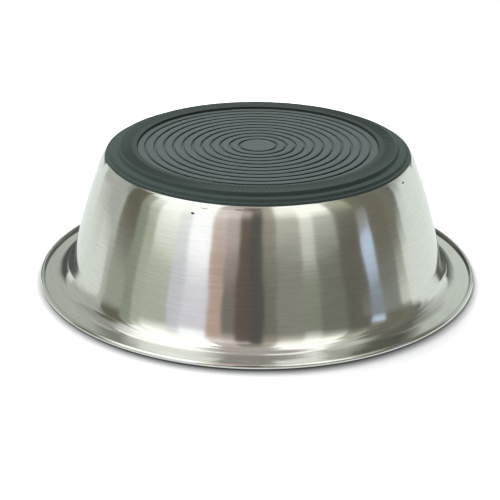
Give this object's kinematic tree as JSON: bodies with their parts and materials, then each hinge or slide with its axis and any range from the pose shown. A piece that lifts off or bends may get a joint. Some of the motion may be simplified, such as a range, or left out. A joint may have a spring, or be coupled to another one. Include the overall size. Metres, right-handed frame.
{
  "type": "dog bowl",
  "caption": "Round stainless feeding bowl with a flared wall, a rolled flange rim and a bonded rubber base with ring grooves, stored rim down.",
  "frame": {"origin": "on the bowl's axis, in the plane that the rim stands on, with the bowl stored upside down as pictured", "axes": "+Z along the bowl's axis from the rim's mouth to the rubber base, so in use the bowl is turned over about X; the part is round, so X and Y are free"},
  "size_m": [0.2376, 0.2376, 0.0726],
  "materials": {
    "steel": "finely brushed, near mirror",
    "bond": "matt black adhesive film",
    "rubber": "satin moulded rubber, dark green grey"
  },
  "bodies": {
    "root": {"steel_bowl": "steel", "bond_layer": "bond", "rubber_base": "rubber"}
  },
  "joints": []
}
